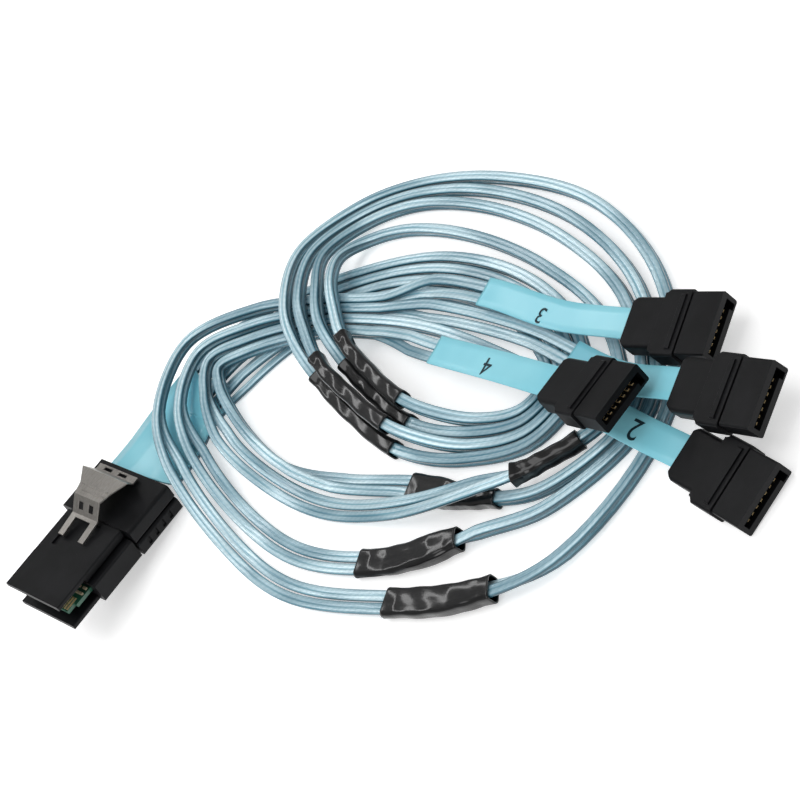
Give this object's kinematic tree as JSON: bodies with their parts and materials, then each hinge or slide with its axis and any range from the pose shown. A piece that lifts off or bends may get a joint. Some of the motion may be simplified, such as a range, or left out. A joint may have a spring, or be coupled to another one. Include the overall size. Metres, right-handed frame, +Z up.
{
  "type": "mini sas breakout cable",
  "caption": "Looped breakout cable: a wide latching mini SAS plug fans out through flat paired ribbons, rubber sleeves and film labels to narrow SATA plugs.",
  "frame": {"origin": "table level under the middle of the host plug", "axes": "+Z up from the table; the host plug's mating face points along -X; the SATA plugs point along -Y"},
  "size_m": [0.1187, 0.1746, 0.0204],
  "materials": {
    "black_plastic": "near-black moulded plastic with a satin sheen",
    "sleeve_rubber": "glossy black heat-shrunk sleeve",
    "latch_steel": "brushed spring steel",
    "circuit_board": "green solder mask",
    "ribbon_insulation": "pale blue translucent insulation over silver conductors",
    "label_film": "light cyan film"
  },
  "bodies": {
    "cable": {"upper_shell": "black_plastic", "lower_shell": "black_plastic", "cable_clamp": "black_plastic", "paddle_card": "circuit_board", "host_label": "label_film", "ribbon_a1": "ribbon_insulation", "ribbon_a2": "ribbon_insulation", "inner_sleeve_a": "sleeve_rubber", "outer_sleeve_a": "sleeve_rubber", "label_a": "label_film", "housing_a": "black_plastic", "cover_a": "black_plastic", "ribbon_b1": "ribbon_insulation", "ribbon_b2": "ribbon_insulation", "inner_sleeve_b": "sleeve_rubber", "outer_sleeve_b": "sleeve_rubber", "label_b": "label_film", "housing_b": "black_plastic", "cover_b": "black_plastic", "ribbon_c1": "ribbon_insulation", "ribbon_c2": "ribbon_insulation", "inner_sleeve_c": "sleeve_rubber", "outer_sleeve_c": "sleeve_rubber", "label_c": "label_film", "housing_c": "black_plastic", "cover_c": "black_plastic", "ribbon_d1": "ribbon_insulation", "ribbon_d2": "ribbon_insulation", "inner_sleeve_d": "sleeve_rubber", "outer_sleeve_d": "sleeve_rubber", "label_d": "label_film", "housing_d": "black_plastic", "cover_d": "black_plastic"},
    "latch": {"latch_spring": "latch_steel"}
  },
  "joints": [
    {"name": "latch_press", "type": "hinge", "parent": "cable", "child": "latch", "pos_m": [0.01688, 0.00165, 0.01154], "axis": [-0.0555, -0.9751, -0.2145], "range_deg": [0, 1.5], "stiffness_Nm_per_rad": 0.6}
  ]
}
